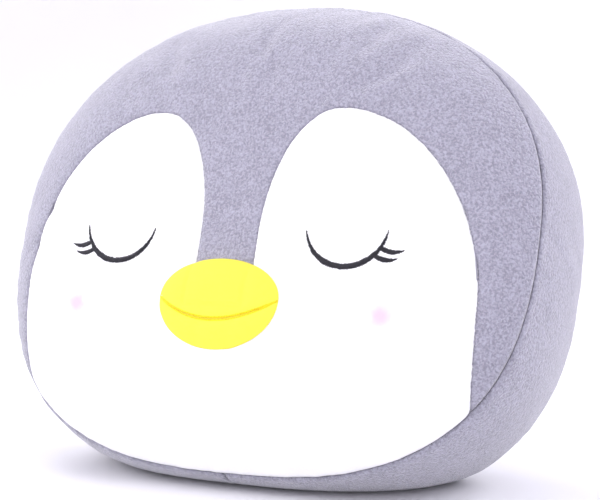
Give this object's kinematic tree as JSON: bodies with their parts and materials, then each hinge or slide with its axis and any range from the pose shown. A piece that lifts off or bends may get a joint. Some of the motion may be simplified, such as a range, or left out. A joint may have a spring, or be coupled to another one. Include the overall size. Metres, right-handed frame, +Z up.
{
  "type": "plush penguin head cushion",
  "caption": "Stuffed cushion shaped like a round penguin head, with a two-lobed white face, padded beak and embroidered closed eyes, leaning back on a flattened underside.",
  "frame": {"origin": "on the surface the cushion rests on, straight below the middle of the head's depth", "axes": "+Z up, +X to the right of someone who looks at the face, -Y towards that person; the face leans back 19 degrees from upright"},
  "size_m": [0.4124, 0.2454, 0.3316],
  "materials": {
    "white_plush": "short-pile plush, brushed, matt with a soft sheen",
    "grey_plush": "short-pile plush, brushed, matt with a soft sheen",
    "yellow_plush": "short-pile plush, brushed, matt",
    "black_thread": "satin-stitched embroidery thread",
    "gold_thread": "satin-stitched embroidery thread",
    "grey_thread": "sewing thread",
    "white_satin": "woven satin ribbon",
    "white_nonwoven": "non-woven embroidery backing",
    "white_fibre": "loose polyester fibre"
  },
  "bodies": {
    "root": {"face_panel": "white_plush", "forehead_panel": "grey_plush", "side_band_left": "grey_plush", "side_band_right": "grey_plush", "back_panel": "grey_plush", "front_seam_thread": "grey_thread", "back_seam_thread": "grey_thread", "closing_thread": "grey_thread", "band_join_threads": "grey_thread", "face_seam_thread": "grey_thread", "care_label": "white_satin", "left_eyelid_stitching": "black_thread", "left_lash_stitching": "black_thread", "left_eye_backing": "white_nonwoven", "right_eyelid_stitching": "black_thread", "right_lash_stitching": "black_thread", "right_eye_backing": "white_nonwoven", "beak_upper_cover": "yellow_plush", "beak_lower_cover": "yellow_plush", "mouth_stitching": "gold_thread", "beak_padding": "white_fibre", "fibre_filling": "white_fibre"}
  },
  "joints": []
}
